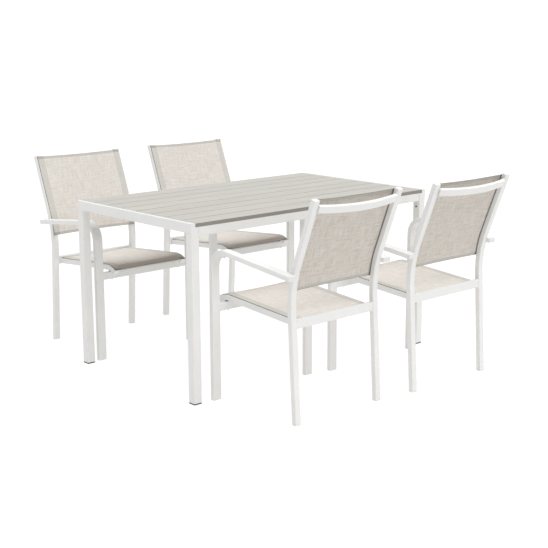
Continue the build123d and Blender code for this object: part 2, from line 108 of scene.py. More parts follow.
STITCH_LENGTH = 0.0032
STITCH_PITCH = 0.0041
STITCH_WIDTH = 0.0007
STITCH_PROUD = 0.00025
STITCH_SIDES = 6
STITCH_RINGS = ((-0.38, 0.72), (-0.2, 1.0), (0.2, 1.0), (0.38, 0.72))   # place and size along it
STITCH_FROM_FOLD = 0.0098       # row along a free edge, from its fold
STITCH_FROM_SLOT = 0.0300       # row along a side hem, from the slot

# How dark the cloth is painted: 0 for one layer, 1 for a hem, 2 for the bound cord. Besides the cord's own
# dark sleeve, this is painted shade: a hem holding back light, and shadow at folds, in the slot and beside
# the tubes.
END_SHADE = 1.12                # the hems along the free edges
CORNER_SHADE = 0.25             # what is added where two hems cross
BACK_FOLD = 1.55                # painted shadow at a free edge's fold
SEAT_FOLD = 1.85
FOLD_WIDTH = 0.005              # painted shade darkens the faces over this width towards a fold, in metres
BACK_FRONT_FOLD = 0.15          # and by this much: in front, on top, and behind or underneath
SEAT_FRONT_FOLD = 0.50
REAR_FOLD = 0.38
POST_SHADOW_WIDTH = 0.0045                   # painted shadow under the side hems, shown inboard of the tubes where the cloth meets them
POST_SHADOW = 0.75
BOUND_FROM_TO = (0.3, 1.2)      # the cord's dark sleeve and painted shadow in the slot darken the cloth over this turn into it, radians
BACK_ROLL_SHADE = 0.0                 # painted shade where the cloth rolls down in front
SEAT_ROLL_SHADE = 1.9
ROLL_FROM_TO = (0.05, 0.36)     # over this change of its normal's Y
BACK_LOOK = (BACK_HOLLOW, BACK_FOLD, BACK_FRONT_FOLD, BACK_ROLL_SHADE)
SEAT_LOOK = (SEAT_HOLLOW, SEAT_FOLD, SEAT_FRONT_FOLD, SEAT_ROLL_SHADE)

THREAD_PITCH = 0.00125          # of the weave
CLOTH_SHIFT = (1.7, 2.3)        # from one chair's cut of the cloth to the next
ACROSS_POINTS = 17              # points across half the cloth between the tubes
ALONG_POINTS = 41               # and along it
NOSE_POINTS = 3                 # round a free edge's fold
TURN_POINTS = 5                 # round the turn into a slot
SLOT_POINTS = 2                 # and below it, in the slot
RIM_SINK = 0.35                 # share of the hollow left at the free edges

# ---------------------------------------------------------------- welds
WELD_RADIUS = 0.0016
WELD_STEP = 0.0004
WELD_RIPPLE = 0.0026            # from one ripple of a bead to the next
RIPPLE_SHARE = 0.10             # how much a ripple changes the bead's radius
SWELL_SHARE = 0.07              # and the slower changes of the hand
ARM_MIDDLE = 0.020              # middle of an armrest, outboard of its weld to the post
POST_MIDDLE = 0.014             # middle of a post, inboard of it
BEAD_SIDES = 8
LAP_ROUNDS = 4                  # of finding an armrest's height and a post's place from each other

# ---------------------------------------------------------------- legs' ends, and finding surfaces
JOINT_GAP = 0.0024              # painted shadow line round a table leg's end, above its foot, in its open joint
JOINT_SHADOW = 0.95
CLEAR = 0.1                     # rays start this far outside what they look for
BELOW_FACE = 0.01               # tubes are looked for this far below a sling's face
FLAT = 1e-5                     # points this near a plane are on it

CHAIRS = [name for name in frame["bodies"] if name.startswith("chair")]


# ---------------------------------------------------------------- node helpers
class Shader:
    """A material's node tree, with short calls for the nodes used here."""

    def __init__(self, name):
        self.material = bpy.data.materials.new(name)
        self.material.use_nodes = True
        self.tree = self.material.node_tree
        self.tree.nodes.clear()
        self.output = self.tree.nodes.new("ShaderNodeOutputMaterial")

    def add(self, kind, **settings):
        made = self.tree.nodes.new(kind)
        for key, value in settings.items():
            setattr(made, key, value)
        return made

    def wire(self, value, socket):
        """Sets a socket from a number, a tuple or another node's socket."""
        if isinstance(value, bpy.types.NodeSocket):
            self.tree.links.new(value, socket)
        else:
            socket.default_value = value

    def math(self, operation, a, b=0.0):
        made = self.add("ShaderNodeMath", operation=operation)
        self.wire(a, made.inputs[0])
        self.wire(b, made.inputs[1])
        return made.outputs[0]

    def split(self, vector):
        made = self.add("ShaderNodeSeparateXYZ")
        self.wire(vector, made.inputs[0])
        return made.outputs

    def join(self, x, y, z=0.0):
        made = self.add("ShaderNodeCombineXYZ")
        for value, socket in zip((x, y, z), made.inputs):
            self.wire(value, socket)
        return made.outputs[0]

    def scaled(self, vector, scale, offset=(0.0, 0.0, 0.0)):
        made = self.add("ShaderNodeMapping")
        self.wire(vector, made.inputs["Vector"])
        made.inputs["Scale"].default_value = scale
        made.inputs["Location"].default_value = offset
        return made.outputs[0]

    def noise(self, vector, scale=1.0, detail=2.0, roughness=0.5):
        made = self.add("ShaderNodeTexNoise")
        self.wire(vector, made.inputs["Vector"])
        made.inputs["Scale"].default_value = scale
        made.inputs["Detail"].default_value = detail
        made.inputs["Roughness"].default_value = roughness
        return made.outputs["Fac"]

    def random(self, value):
        """A number from 0 to 1 for each whole value."""
        made = self.add("ShaderNodeTexWhiteNoise", noise_dimensions="1D")
        self.wire(value, made.inputs["W"])
        return made.outputs["Value"]

    def remap(self, value, low, high, to_low=0.0, to_high=1.0):
        made = self.add("ShaderNodeMapRange", clamp=True)
        for entry, socket in zip((value, low, high, to_low, to_high), made.inputs):
            self.wire(entry, socket)
        return made.outputs[0]

    def mix(self, share, a, b):
        """A colour between a and b. The node has A, B and Result once for each kind of data."""
        made = self.add("ShaderNodeMix", data_type="RGBA")
        self.wire(share, made.inputs["Factor"])
        for value, socket in zip((a, b), (made.inputs[6], made.inputs[7])):
            self.wire((*value, 1.0) if isinstance(value, tuple) else value, socket)
        return made.outputs[2]

    def blend(self, share, a, b):
        """A number between a and b."""
        made = self.add("ShaderNodeMix", data_type="FLOAT")
        self.wire(share, made.inputs["Factor"])
        self.wire(a, made.inputs[2])
        self.wire(b, made.inputs[3])
        return made.outputs[0]

    def bump(self, height, distance, strength=1.0):
        made = self.add("ShaderNodeBump")
        self.wire(height, made.inputs["Height"])
        made.inputs["Distance"].default_value = distance
        made.inputs["Strength"].default_value = strength
        return made.outputs[0]

    def principled(self, colour, roughness, normal=None, **values):
        """The surface shader. Other values are plain numbers on its own sockets."""
        made = self.add("ShaderNodeBsdfPrincipled")
        self.wire(colour, made.inputs["Base Color"])
        self.wire(roughness, made.inputs["Roughness"])
        if normal is not None:
            self.wire(normal, made.inputs["Normal"])
        for name, value in values.items():
            made.inputs[name.replace("_", " ")].default_value = value
        return made.outputs[0]

    def finish(self, surface):
        self.wire(surface, self.output.inputs["Surface"])
        return self.material

    def place(self):
        """The point's place in the row frame, in metres."""
        return self.add("ShaderNodeTexCoord").outputs["Object"]

    def attribute(self, name, output):
        return self.add("ShaderNodeAttribute", attribute_name=name).outputs[output]


# ---------------------------------------------------------------- materials
def powder_coat(name, joint_shadow):
    """Satin off-white powder coat: fine orange peel, faint cloudiness, a little dust low down.

    The last argument is how dark the painted shadow is in the open joint between a table leg's end and its
    foot.
    """
    s = Shader(name)
    place = s.place()
    cloud = s.noise(place, 9.0, 4.0, 0.6)
    fleck = s.noise(place, 420.0, 2.0, 0.5)
    height = s.split(place)[2]
    dust = s.math("MULTIPLY", s.remap(height, 0.0, 0.12, 1.0, 0.0), s.noise(place, 60.0, 5.0, 0.7))
    paint = s.mix(s.remap(cloud, 0.3, 0.7), (0.752, 0.748, 0.732), (0.785, 0.782, 0.768))
    paint = s.mix(s.remap(fleck, 0.58, 0.75, 0.0, 0.18), paint, (0.70, 0.695, 0.675))
    paint = s.mix(s.math("MULTIPLY", dust, 0.16), paint, (0.62, 0.60, 0.56))
    # Painted shadow: a dark band in the open joint just above a table leg's foot.
    foot_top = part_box("table_leg_front_left")[0].z
    joint = s.remap(height, foot_top + JOINT_GAP / 2, foot_top + JOINT_GAP, joint_shadow, 0.0)
    paint = s.mix(joint, paint, (0.020, 0.020, 0.019))
    peel = s.noise(place, 850.0, 2.0, 0.5)
    normal = s.bump(peel, 0.00012, 0.45)
    rough = s.remap(s.noise(place, 160.0, 3.0, 0.6), 0.3, 0.7, 0.36, 0.46)
    return s.finish(s.principled(paint, rough, normal, Specular_IOR_Level=0.45))


def slat_board():
    """Light warm grey board, brushed along its length, each in its own tone, with darker sides: partly the
    board's darker core, partly painted shade in the gaps between slats.
    """
    s = Shader("slat_board")
    x, y, z = s.split(s.place())
    low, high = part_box("table_slat_1")[0].y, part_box("table_slat_8")[1].y
    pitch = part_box("table_slat_2")[0].y - low
    number = s.math("FLOOR", s.math("DIVIDE", s.math("SUBTRACT", y, low), pitch))
    tone = s.random(number)
    shifted = s.join(s.math("ADD", x, s.math("MULTIPLY", tone, high - low)), y, z)
    grain = s.noise(s.scaled(shifted, (5.0, 210.0, 210.0)), 1.0, 6.0, 0.62)
    streak = s.noise(s.scaled(shifted, (1.6, 55.0, 55.0)), 1.0, 3.0, 0.5)
    brush = s.noise(s.scaled(shifted, (26.0, 1500.0, 1500.0)), 1.0, 3.0, 0.6)
    board = s.mix(s.remap(grain, 0.30, 0.70), (0.385, 0.372, 0.341), (0.548, 0.532, 0.498))
    board = s.mix(s.remap(streak, 0.35, 0.70, 0.0, 0.55), board, (0.502, 0.489, 0.454))
    board = s.mix(s.remap(tone, 0.0, 1.0, 0.0, 0.25), board, (0.417, 0.401, 0.368))
    # Darker sides: partly the board's own darker core, partly painted shade in the gaps between the slats.
    facing_up = s.math("ABSOLUTE", s.split(s.add("ShaderNodeNewGeometry").outputs["Normal"])[2])
    board = s.mix(s.remap(facing_up, 0.45, 0.85, 0.62, 0.0), board, (0.135, 0.120, 0.105))
    relief = s.math("ADD", s.math("MULTIPLY", grain, 0.6), s.math("MULTIPLY", brush, 0.4))
    normal = s.bump(relief, 0.00035, 0.6)
    rough = s.remap(brush, 0.3, 0.7, 0.52, 0.68)
    return s.finish(s.principled(board, rough, normal, Specular_IOR_Level=0.35))


def woven_sling():
    """Coated mesh: threads over and under, slubs both ways, light passing where it is one layer.

    The layers value is 0 for one layer, 1 in a hem, and up to 2 at folds, in the slot and beside the
    tubes. The darkening it drives is painted shade for the light a hem holds back and the shadow there,
    besides the bound cord's own dark sleeve.
    This value is 1 on the dull underside; above 1 it is painted shade where the seat rolls down in front,
    up to nearly 2.
    """
    s = Shader("woven_sling")
    weave = s.attribute("weave", "Vector")
    layers_and_shade = s.attribute("layers_and_shade", "Fac")
    underside_and_roll_shade = s.attribute("underside_and_roll_shade", "Fac")
    u, v, _ = s.split(weave)
    across = s.math("DIVIDE", u, THREAD_PITCH)
    along = s.math("DIVIDE", v, THREAD_PITCH)
    warp, weft = s.math("FLOOR", across), s.math("FLOOR", along)
    over = s.math("FLOORED_MODULO", s.math("ADD", warp, weft), 2.0)
    warp_hump = s.math("SINE", s.math("MULTIPLY", s.math("FRACT", across), pi))
    weft_hump = s.math("SINE", s.math("MULTIPLY", s.math("FRACT", along), pi))
    on_weft = s.math("MULTIPLY", weft_hump, s.remap(warp_hump, 0.0, 1.0, 0.5, 1.0))
    on_warp = s.math("MULTIPLY", warp_hump, s.remap(weft_hump, 0.0, 1.0, 0.5, 1.0))
    height = s.blend(over, on_weft, on_warp)

    weft_tone = s.noise(s.join(s.math("MULTIPLY", u, 22.0), s.math("MULTIPLY", weft, 0.73)), 1.0, 2.0)
    warp_tone = s.noise(s.join(s.math("MULTIPLY", warp, 0.73), s.math("MULTIPLY", v, 22.0), 7.0), 1.0, 2.0)
    thread = s.blend(over, weft_tone, warp_tone)
    slub_across = s.noise(s.scaled(weave, (15.0, 165.0, 1.0)), 1.0, 3.0, 0.6)
    slub_along = s.noise(s.scaled(weave, (165.0, 15.0, 1.0), (3.1, 5.7, 0.0)), 1.0, 3.0, 0.6)
    pale = s.math("MAXIMUM", s.remap(slub_across, 0.53, 0.66), s.remap(slub_along, 0.53, 0.66))
    dark = s.math("MAXIMUM", s.remap(slub_across, 0.46, 0.33), s.remap(slub_along, 0.46, 0.33))
    patch = s.noise(weave, 16.0, 3.0, 0.6)

    cloth = s.mix(s.remap(thread, 0.32, 0.68), (0.675, 0.633, 0.580), (0.825, 0.800, 0.762))
    dark = s.math("MULTIPLY", dark, s.remap(underside_and_roll_shade, 0.0, 1.0, 0.42, 0.85))
    pale = s.math("MULTIPLY", pale, s.remap(underside_and_roll_shade, 0.0, 1.0, 0.65, 0.90))
    cloth = s.mix(dark, cloth, (0.570, 0.520, 0.460))
    cloth = s.mix(pale, cloth, (0.870, 0.852, 0.820))
    cloth = s.mix(s.remap(patch, 0.40, 0.75, 0.0, 0.20), cloth, (0.755, 0.705, 0.650))
    # Darker and warmer on the dull underside, and more where the seat rolls down in front, which is
    # painted shade.
    cloth = s.mix(s.math("MULTIPLY", underside_and_roll_shade, 0.29), cloth, (0.560, 0.492, 0.420))
    # Painted shade on the seat's front, where it rolls down.
    cloth = s.mix(s.remap(underside_and_roll_shade, 1.0, 2.0, 0.0, 0.60), cloth, (0.300, 0.248, 0.205))
    # Painted shade: hems and folds greyer, for the light a double layer holds back and the shadow at
    # folds.
    cloth = s.mix(s.remap(layers_and_shade, 0.0, 1.0, 0.0, 0.60), cloth, (0.480, 0.470, 0.425))
    # The bound cord's own dark sleeve, with painted shadow in the slot, at folds and beside the tubes.
    cloth = s.mix(s.remap(layers_and_shade, 1.0, 2.0), cloth, (0.115, 0.095, 0.078))

    normal = s.bump(height, 0.00022, 0.55)
    rough = s.remap(height, 0.0, 1.0, 0.74, 0.56)
    face = s.principled(cloth, rough, normal, Specular_IOR_Level=0.3)
    through = s.add("ShaderNodeBsdfTranslucent")
    s.wire(s.mix(0.5, cloth, (0.62, 0.50, 0.37)), through.inputs["Color"])
    both = s.add("ShaderNodeMixShader")
    s.wire(s.remap(layers_and_shade, 0.0, 1.0, 0.20, 0.07), both.inputs[0])
    s.wire(face, both.inputs[1])
    s.wire(through.outputs[0], both.inputs[2])
    return s.finish(both.outputs[0])


def sewing_thread():
    """Twisted polyester thread, a shade lighter than the cloth."""
    s = Shader("sewing_thread")
    place = s.place()
    ply = s.noise(place, 2600.0, 1.0, 0.5)
    colour = s.mix(s.remap(ply, 0.35, 0.65), (0.56, 0.52, 0.46), (0.74, 0.70, 0.64))
    return s.finish(s.principled(colour, s.remap(ply, 0.3, 0.7, 0.45, 0.6), s.bump(ply, 0.0001, 0.5)))


def pale_plastic():
    """Moulded off-white nylon with a fine spark-eroded grain."""
    s = Shader("pale_plastic")
    place = s.place()
    grain = s.noise(place, 1300.0, 3.0, 0.6)
    scuff = s.noise(place, 85.0, 5.0, 0.7)
    colour = s.mix(s.remap(grain, 0.35, 0.65), (0.700, 0.698, 0.685), (0.765, 0.762, 0.748))
    low = s.remap(s.split(place)[2], 0.0, 0.006, 0.35, 0.0)
    colour = s.mix(s.math("MULTIPLY", s.remap(scuff, 0.45, 0.65), low), colour, (0.42, 0.41, 0.39))
    rough = s.remap(scuff, 0.3, 0.7, 0.48, 0.62)
    return s.finish(s.principled(colour, rough, s.bump(grain, 0.00008, 0.5)))


def dark_rubber():
    """Charcoal moulded foot, scuffed paler where it meets the ground."""
    s = Shader("dark_rubber")
    place = s.place()
    grain = s.noise(place, 900.0, 3.0, 0.6)
    scuff = s.noise(s.scaled(place, (140.0, 140.0, 400.0)), 1.0, 4.0, 0.7)
    colour = s.mix(s.remap(grain, 0.35, 0.65), (0.020, 0.020, 0.019), (0.034, 0.034, 0.032))
    low = s.remap(s.split(place)[2], 0.0, 0.0012, 0.35, 0.0)
    colour = s.mix(s.math("MULTIPLY", s.remap(scuff, 0.45, 0.7), low), colour, (0.14, 0.135, 0.128))
    rough = s.remap(scuff, 0.3, 0.7, 0.6, 0.8)
    return s.finish(s.principled(colour, rough, s.bump(grain, 0.0001, 0.5), Specular_IOR_Level=0.25))


def dark_zinc():
    """Dark zinc-plated steel, dull and slightly mottled."""
    s = Shader("dark_zinc")
    place = s.place()
    mottle = s.noise(place, 240.0, 4.0, 0.65)
    colour = s.mix(s.remap(mottle, 0.3, 0.7), (0.085, 0.084, 0.080), (0.170, 0.168, 0.160))
    rough = s.remap(mottle, 0.3, 0.7, 0.38, 0.58)
    return s.finish(s.principled(colour, rough, s.bump(mottle, 0.00006, 0.4), Metallic=0.85))


def pale_floor():
    """Matt and faintly mottled, with its own glow."""
    s = Shader("pale_floor")
    tone = s.noise(s.place(), 3.0, 3.0, 0.5)
    darker = tuple(c - FLOOR_MOTTLE for c in FLOOR_COLOUR)
    colour = s.mix(s.remap(tone, 0.3, 0.7), FLOOR_COLOUR, darker)
    return s.finish(s.principled(colour, 0.85, Specular_IOR_Level=0.1,
                                 Emission_Color=(1.0, 1.0, 1.0, 1.0), Emission_Strength=FLOOR_GLOW))


CLOTH = woven_sling()
THREAD = sewing_thread()
PAINT = powder_coat("powder_coat", 0.0)


def dress_cad_nodes():
    """Gives every CAD node the material that its slot in the record stands for."""
    finishes = {
        "frame_paint": PAINT,
        "table_leg": powder_coat("powder_coat_legs", JOINT_SHADOW),
        "slat_board": slat_board(),
        "sling_fabric": CLOTH,
        "pale_plastic": pale_plastic(),
        "dark_rubber": dark_rubber(),
        "dark_fixings": dark_zinc(),
    }
    for part in frame["record"]["subparts"]:
        finish = part["material_slot"]
        if finish == "frame_paint" and part["node"].startswith("table_leg"):
            finish = "table_leg"
        node = frame["nodes"][part["node"]]
        node.data.materials.clear()
        node.data.materials.append(finishes[finish])


# ---------------------------------------------------------------- mesh helpers
def mesh_object(name, points, faces, material, smooth=True):
    mesh = bpy.data.meshes.new(name)
    mesh.from_pydata([tuple(p) for p in points], [], [tuple(f) for f in faces])
    mesh.materials.append(material)
    mesh.polygons.foreach_set("use_smooth", [smooth] * len(mesh.polygons))
    made = bpy.data.objects.new(name, mesh)
    bpy.context.scene.collection.objects.link(made)
    return made


def tree_of(node):
    """A node's surface for ray casts."""
    mesh = frame["nodes"][node].data
    return BVHTree.FromPolygons([v.co for v in mesh.vertices], [tuple(p.vertices) for p in mesh.polygons])


def ease(x, start, end):
    """0 before start, 1 after end, smooth between."""
    t = np.clip((x - start) / (end - start), 0.0, 1.0)
    return t * t * (3.0 - 2.0 * t)


def resampled(points, count):
    """The same line with its points evenly spaced along it, and its length."""
    steps = np.linalg.norm(np.diff(points, axis=0), axis=1)
    run = np.concatenate([[0.0], np.cumsum(steps)])
    at = np.linspace(0.0, run[-1], count)
    return np.column_stack([np.interp(at, run, points[:, k]) for k in range(3)]), run[-1]


# ---------------------------------------------------------------- slings
class Profile:
    """A CAD sling's face along the chair's middle: places, directions and normals."""

    COARSE = 240                # rays along the sling
    FINE = 161                  # points kept
    SMOOTHING = 5               # points averaged
    TOWARDS_RAY = -0.7          # a hit counts where its normal turns back along the ray this much

    def __init__(self, node, origins, direction):
        surface = tree_of(node)
        found = []
        for origin in origins:
            place, normal, _, _ = surface.ray_cast(Vector(origin), Vector(direction))
            if place is not None and normal.dot(Vector(direction)) < self.TOWARDS_RAY:
                found.append(tuple(place))
        line, _ = resampled(np.array(found), self.FINE)
        ends = line[[0, -1]].copy()
        kernel = np.ones(self.SMOOTHING) / self.SMOOTHING
        padded = np.vstack([2 * line[0] - line[2:0:-1], line, 2 * line[-1] - line[-2:-4:-1]])
        line = np.column_stack([np.convolve(padded[:, k], kernel, "valid") for k in range(3)])
        line[[0, -1]] = ends
        self.points, self.length = resampled(line, self.FINE)
        tangents = np.gradient(self.points, axis=0)
        self.tangents = tangents / np.linalg.norm(tangents, axis=1)[:, None]
        normals = np.cross(self.tangents, (1.0, 0.0, 0.0))
        if normals[len(normals) // 2] @ np.array(direction) > 0:
            normals = -normals
        self.normals = normals
        self.stations = np.linspace(0.0, self.length, self.FINE)

    def at(self, v):
        """(places, tangents, normals) at distances v along the line."""
        return tuple(np.column_stack([np.interp(v, self.stations, rows[:, k]) for k in range(3)])
                     for rows in (self.points, self.tangents, self.normals))


def facing(chair):
    """+1 or -1: the Y direction that the chair faces, away from where it slides out."""
    slide = next(j for j in frame["joints"] if j["child"] == chair)
    return -1.0 if slide["axis"][1] > 0 else 1.0


def back_profile(chair):
    """From the back sling's bottom edge up its front."""
    low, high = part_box(f"{chair}_back_sling")
    heights = np.linspace(low.z, high.z, Profile.COARSE)
    y = low.y - CLEAR if facing(chair) < 0 else high.y + CLEAR
    origins = [((low.x + high.x) / 2, y, z) for z in heights]
    return Profile(f"{chair}_back_sling", origins, (0.0, -facing(chair), 0.0))


def seat_profile(chair):
    """From the seat sling's rear edge forward over its top."""
    low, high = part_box(f"{chair}_seat_sling")
    rear, front = (high.y, low.y) if facing(chair) < 0 else (low.y, high.y)
    places = np.linspace(rear, front, Profile.COARSE)
    origins = [((low.x + high.x) / 2, y, high.z + CLEAR) for y in places]
    return Profile(f"{chair}_seat_sling", origins, (0.0, 0.0, -1.0))


def tube_inner(node, start):
    """How far a tube's inner side is from a point between the tubes, along X."""
    return tree_of(node).ray_cast(Vector(start), Vector((1.0, 0.0, 0.0)))[3]


def on_tube(a, inner):
    """0 between the tubes, 1 over them, at a distance a from the chair's middle."""
    return ease(abs(a), inner - EASE, inner)


def sink_across(a, inner, hollow):
    """How far the cloth sinks below its straight section, half-way between the free edges."""
    return (1.0 - min(abs(a) / inner, 1.0) ** 2) ** 2 * hollow


def sink_along(v, length):
    """The share of that sink at a distance v along the cloth."""
    return np.sin(pi * v / length) * (1.0 - RIM_SINK) + RIM_SINK


def drawn_in(a, inner):
    """How far a free edge is drawn in."""
    return EDGE_PULL * max(0.0, 1.0 - (a / inner) ** 2)


def face_level(tube_share):
    """The cloth's face from the CAD sling's face."""
    return FACE_FREE + (FACE_ON_TUBE - FACE_FREE) * tube_share


def across_stations(half, inner):
    """Where the cloth's section has points across the chair, up to where it turns into the slot."""
    flat_end = half - TUCK_INSET - TUCK_RADIUS
    hem = half - SIDE_HEM
    free = np.linspace(0.0, inner - EASE, ACROSS_POINTS)
    marks = [hem - STEP, hem, hem + STEP, inner - EASE / 2, inner, inner + EASE_END, flat_end]
    right = np.unique(np.round(np.concatenate([free, marks]), 6))
    return np.concatenate([-right[:0:-1], right])


def along_stations(length):
    """Where it has points along the chair, closer together at the hems' inner edges."""
    middle = np.linspace(0.0, length, ALONG_POINTS)
    marks = [SHEET, FOLD_WIDTH / 2, FOLD_WIDTH, END_HEM - STEP, END_HEM, END_HEM + STEP]
    marks += [length - m for m in marks]
    return np.unique(np.round(np.concatenate([middle, marks]), 6))


def cloth_section(half, inner, hollow):
    """The cloth across the chair: (place, drop, turn, tube_share, hem, sink) for each station.

    place and drop are the middle of one layer, out from the chair's middle and down from the
    CAD sling's face. turn is the angle of its thickness, which goes over as it enters the slot.
    """
    rows = []
    for a in across_stations(half, inner):
        hem = ease(abs(a), half - SIDE_HEM - STEP, half - SIDE_HEM + STEP)
        rows.append((a, 0.0, 0.0, on_tube(a, inner), hem, sink_across(a, inner, hollow)))
    hub = half - TUCK_INSET - TUCK_RADIUS
    angles = np.linspace(0, pi / 2, TURN_POINTS)[1:]
    bends = [(hub + TUCK_RADIUS * sin(t), TUCK_RADIUS * (1 - cos(t)), t) for t in angles]
    depths = np.linspace(TUCK_RADIUS, TUCK_DEPTH, SLOT_POINTS + 1)[1:]
    bends += [(half - TUCK_INSET, d, pi / 2) for d in depths]
    outer = [(x, d, t, 1.0, 1.0, 0.0) for x, d, t in bends]
    return [(-x, d, -t, on, h, s) for x, d, t, on, h, s in reversed(outer)] + rows + outer


def sling_mesh(name, profile, half, inner, look, cloth_offset):
    """A closed sheet: loops round the cloth's thickness, one for each station across.

    Gives the object, and the cloth's width from slot to slot.
    """
    hollow, fold, front_fold, roll = look
    v_all = along_stations(profile.length)
    section = cloth_section(half, inner, hollow)
    nose = np.linspace(pi / 2, -pi / 2, NOSE_POINTS + 2)[1:-1]
    points, weave, layers_and_shade, underside_and_roll_shade = [], [], [], []
    developed = 0.0
    last = None
    for a, drop, turn, tube_share, side_hem, sink in section:
        if last is not None:
            developed += float(np.hypot(a - last[0], drop - last[1]))
        last = (a, drop)
        pull = drawn_in(a, inner)
        v = pull + v_all / profile.length * (profile.length - 2 * pull)
        base, tangent, normal = profile.at(v)
        from_edge = np.minimum(v_all, profile.length - v_all)
        end_hem = ease(from_edge, END_HEM + STEP, END_HEM - STEP)
        double = np.maximum(side_hem, end_hem)
        shade = np.maximum(side_hem, END_SHADE * end_hem) + CORNER_SHADE * side_hem * end_hem
        thick = SHEET + HEM_FOLD * double * (1.0 - abs(turn) / (pi / 2))
        mid = face_level(tube_share) - thick / 2 - drop - sink * sink_along(v_all, profile.length)
        out = np.array((1.0, 0.0, 0.0)) * sin(turn) + normal * cos(turn)
        middle = base + np.array((a, 0.0, 0.0)) + normal * mid[:, None]
        inset = thick / 2
        middle[0] += tangent[0] * inset[0]
        middle[-1] -= tangent[-1] * inset[-1]
        upper = middle + out * (thick / 2)[:, None]
        under = middle - out * (thick / 2)[:, None]
        far = [middle[-1] + tangent[-1] * inset[-1] * cos(t) + out[-1] * inset[-1] * sin(t) for t in nose]
        near = [middle[0] - tangent[0] * inset[0] * cos(t) - out[0] * inset[0] * sin(t) for t in nose]
        points += [*upper, *far, *under[::-1], *near]
        run = [*v, *[v[-1]] * len(nose), *v[::-1], *[v[0]] * len(nose)]
        weave += [(developed + cloth_offset[0], r + cloth_offset[1], 0.0) for r in run]
        # Painted shade: darker towards each fold, and at the folds themselves.
        fold_near = ease(from_edge, FOLD_WIDTH, 0.0)
        # The cord's dark sleeve, with painted shadow, where the cloth turns into its slot.
        bound = ease(abs(turn), *BOUND_FROM_TO)
        # Painted shadow on the underside just inboard of the tubes, where the cloth meets them.
        post_shadow = POST_SHADOW * ease(abs(a), inner - POST_SHADOW_WIDTH, inner - POST_SHADOW_WIDTH + STEP) * (1.0 - bound)
        folds = [max(fold, 1.0 + bound)] * len(nose)
        front = np.minimum(shade + bound + front_fold * fold_near, 2.0)
        rear = np.minimum(shade + bound + post_shadow + REAR_FOLD * fold_near, 2.0)
        layers_and_shade += [*front, *folds, *rear[::-1], *folds]
        # Painted shade where the seat rolls down in front.
        roll_shade = roll * ease(np.abs(normal[:, 1]), *ROLL_FROM_TO)
        underside_and_roll_shade += [*roll_shade, *[1.0] * (len(nose) + len(v) + len(nose))]
    loop = len(run)
    faces = []
    for i in range(len(section) - 1):
        for k in range(loop):
            k2 = (k + 1) % loop
            faces.append((i * loop + k, i * loop + k2, (i + 1) * loop + k2, (i + 1) * loop + k))
    count = len(v_all)
    for i, flip in ((0, False), (len(section) - 1, True)):
        faces += cap_faces(i * loop, count, len(nose), flip)
    made = mesh_object(name, points, faces, CLOTH)
    mesh = made.data
    mesh.attributes.new("weave", "FLOAT_VECTOR", "POINT").data.foreach_set("vector", np.ravel(weave))
    for label, values in (("layers_and_shade", layers_and_shade), ("underside_and_roll_shade", underside_and_roll_shade)):
        mesh.attributes.new(label, "FLOAT", "POINT").data.foreach_set("value", np.array(values))
    outward_normals(mesh)
    return made, developed


def cap_faces(start, count, nose, flip):
    """Closes one loop: the cloth's cut side in its slot, in quads from edge to edge."""
    top = [start + k for k in range(count)]
    far = [start + count + k for k in range(nose)]
    under = [start + count + nose + k for k in range(count)][::-1]
    near = [start + 2 * count + nose + k for k in range(nose)]
    faces = [(top[k], top[k + 1], under[k + 1], under[k]) for k in range(count - 1)]
    faces.append((top[-1], *far, under[-1]))
    faces.append((under[0], *near, top[0]))
    return [f[::-1] for f in faces] if flip else faces


def outward_normals(mesh):
    """Turns every face of a closed mesh outward."""
    work = bmesh.new()
    work.from_mesh(mesh)
    bmesh.ops.recalc_face_normals(work, faces=work.faces)
    work.to_mesh(mesh)
    work.free()


def stitch_shape():
    """One stitch: a rounded bar along X, unit length, width and height, as (points, faces)."""
    ring = [(cos(t), sin(t)) for t in np.linspace(0, 2 * pi, STITCH_SIDES + 1)[:-1]]
    points, faces = [(-0.5, 0.0, 0.0)], []
    for x, size in STITCH_RINGS:
        points += [(x, c * size / 2, s * size / 2) for c, s in ring]
    points.append((0.5, 0.0, 0.0))
    sides, rings = len(ring), len(STITCH_RINGS)
    for k in range(sides):
        k2 = (k + 1) % sides
        faces.append((0, 1 + k2, 1 + k))
        for r in range(rings - 1):
            low = 1 + r * sides
            faces.append((low + k, low + k2, low + sides + k2, low + sides + k))
        end = 1 + (rings - 1) * sides
        faces.append((end + k, end + k2, len(points) - 1))
    return np.array(points), faces


def stitches(name, spots):
    """Stitches at (middle, along, up, height) spots, in one mesh."""
    shape, shape_faces = stitch_shape()
    points, faces = [], []
    for middle, along, up, height in spots:
        side = np.cross(up, along)
        axes = np.array([along * STITCH_LENGTH, side * STITCH_WIDTH, up * height])
        start = len(points)
        points += list(middle + shape @ axes)
        faces += [tuple(start + i for i in f) for f in shape_faces]
    return mesh_object(name, points, faces, THREAD)


